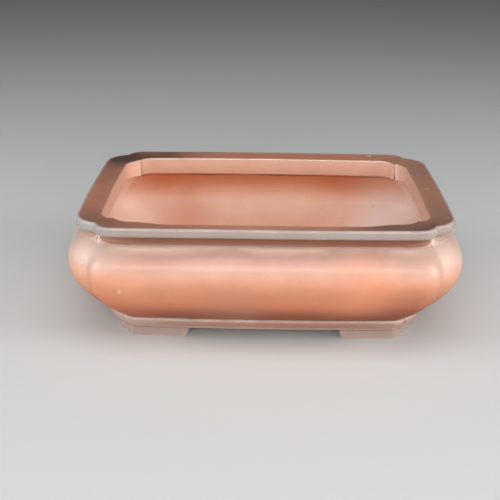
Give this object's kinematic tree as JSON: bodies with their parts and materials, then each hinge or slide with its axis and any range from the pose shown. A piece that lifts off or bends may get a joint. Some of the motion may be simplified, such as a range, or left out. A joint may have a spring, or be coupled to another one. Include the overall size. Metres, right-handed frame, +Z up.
{
  "type": "bonsai pot",
  "caption": "Shallow rectangular unglazed clay bonsai pot with a wide flat lip, bulging walls, indented lobed corners, a thin base moulding and corner feet",
  "frame": {"origin": "on the ground plane, under the middle of the pot's bounding box", "axes": "+X to the right along the long side, +Y to the back, -Y the front, +Z up"},
  "size_m": [0.3062, 0.237, 0.097],
  "materials": {
    "clay_floor": "unglazed matte fired clay",
    "clay_foot": "unglazed matte fired clay, pale pinkish grey",
    "clay_belt": "unglazed satin fired clay, pale pinkish grey",
    "clay_wall": "unglazed burnished clay, satin orange",
    "clay_lip": "unglazed burnished clay, satin dark brown on top"
  },
  "bodies": {
    "root": {"floor_slab": "clay_floor", "foot_front_left": "clay_foot", "foot_front_right": "clay_foot", "foot_back_left": "clay_foot", "foot_back_right": "clay_foot", "belt_front": "clay_belt", "belt_back": "clay_belt", "belt_left": "clay_belt", "belt_right": "clay_belt", "wall_front": "clay_wall", "wall_back": "clay_wall", "wall_left": "clay_wall", "wall_right": "clay_wall", "lip_front": "clay_lip", "lip_back": "clay_lip", "lip_left": "clay_lip", "lip_right": "clay_lip"}
  },
  "joints": []
}
